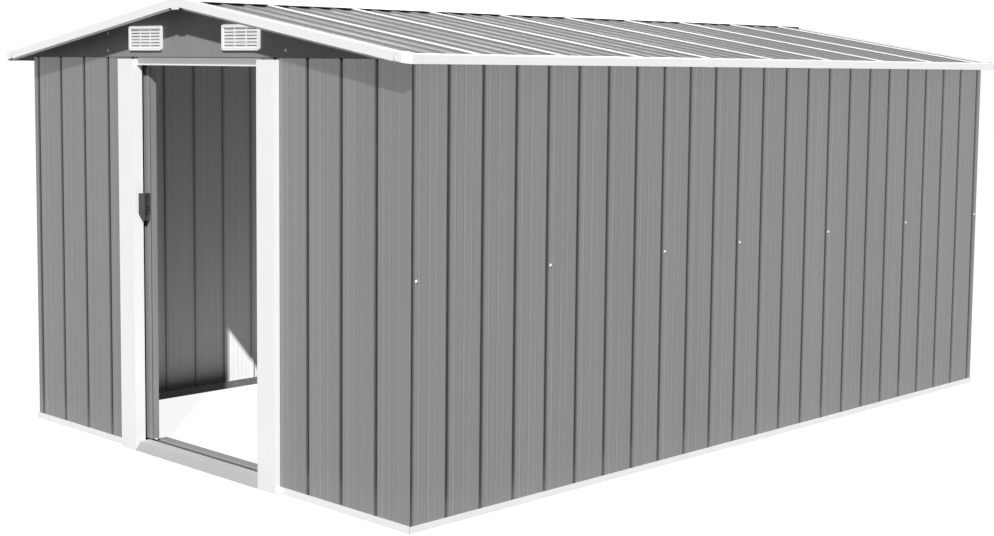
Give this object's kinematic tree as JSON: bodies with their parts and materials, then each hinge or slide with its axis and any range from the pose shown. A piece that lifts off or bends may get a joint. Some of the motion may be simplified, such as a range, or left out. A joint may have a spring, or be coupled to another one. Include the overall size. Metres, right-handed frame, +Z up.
{
  "type": "metal storage shed",
  "caption": "Low gable-roofed garden shed of ribbed grey steel sheet with white trims, vents in the gables and a doorway closed by a pair of sliding doors.",
  "frame": {"origin": "on the ground, under the middle of the shed's roof outline", "axes": "+Z up, the doorway faces -Y, the ridge runs along Y, +X is to the right of someone who faces the doorway"},
  "size_m": [2.57, 3.98, 1.7976],
  "materials": {
    "wall_sheet": "satin grey coated ribbed sheet",
    "roof_sheet": "satin grey coated ribbed sheet",
    "white_trim": "smooth white coated sheet",
    "galvanised": "dull galvanised sheet",
    "white_plastic": "moulded white",
    "black_plastic": "moulded black"
  },
  "bodies": {
    "shed": {"front_wall_left": "wall_sheet", "front_wall_right": "wall_sheet", "rear_wall_panel_1": "wall_sheet", "rear_wall_panel_2": "wall_sheet", "rear_wall_panel_3": "wall_sheet", "right_wall_panel_1": "wall_sheet", "right_wall_panel_2": "wall_sheet", "right_wall_panel_3": "wall_sheet", "right_wall_panel_4": "wall_sheet", "right_wall_panel_5": "wall_sheet", "right_wall_panel_6": "wall_sheet", "left_wall_panel_1": "wall_sheet", "left_wall_panel_2": "wall_sheet", "left_wall_panel_3": "wall_sheet", "left_wall_panel_4": "wall_sheet", "left_wall_panel_5": "wall_sheet", "left_wall_panel_6": "wall_sheet", "front_gable": "wall_sheet", "rear_gable": "wall_sheet", "roof_left": "roof_sheet", "roof_right": "roof_sheet", "base_rail_front": "white_trim", "base_rail_rear": "white_trim", "base_rail_left": "white_trim", "base_rail_right": "white_trim", "door_jamb_left": "white_trim", "door_jamb_right": "white_trim", "door_header": "white_trim", "ridge_cap": "white_trim", "rake_trims": "white_trim", "eave_trim_left": "white_trim", "eave_trim_right": "white_trim", "eave_corner_caps": "white_trim", "top_rails": "galvanised", "roof_beams": "galvanised", "upper_door_track": "galvanised", "lower_door_track": "galvanised", "door_ramp": "galvanised", "gable_vents": "white_plastic"},
    "left_door": {"left_door_frame": "wall_sheet", "left_door_panel": "wall_sheet", "left_door_slides": "white_plastic", "left_door_handle": "black_plastic"},
    "right_door": {"right_door_frame": "wall_sheet", "right_door_panel": "wall_sheet", "right_door_slides": "white_plastic", "right_door_handle": "black_plastic"}
  },
  "joints": [
    {"name": "left_door_slide", "type": "slide", "parent": "shed", "child": "left_door", "axis": [1, 0, 0], "range_m": [0, 0.372]},
    {"name": "right_door_slide", "type": "slide", "parent": "shed", "child": "right_door", "axis": [-1, 0, 0], "range_m": [0, 0.372]}
  ]
}
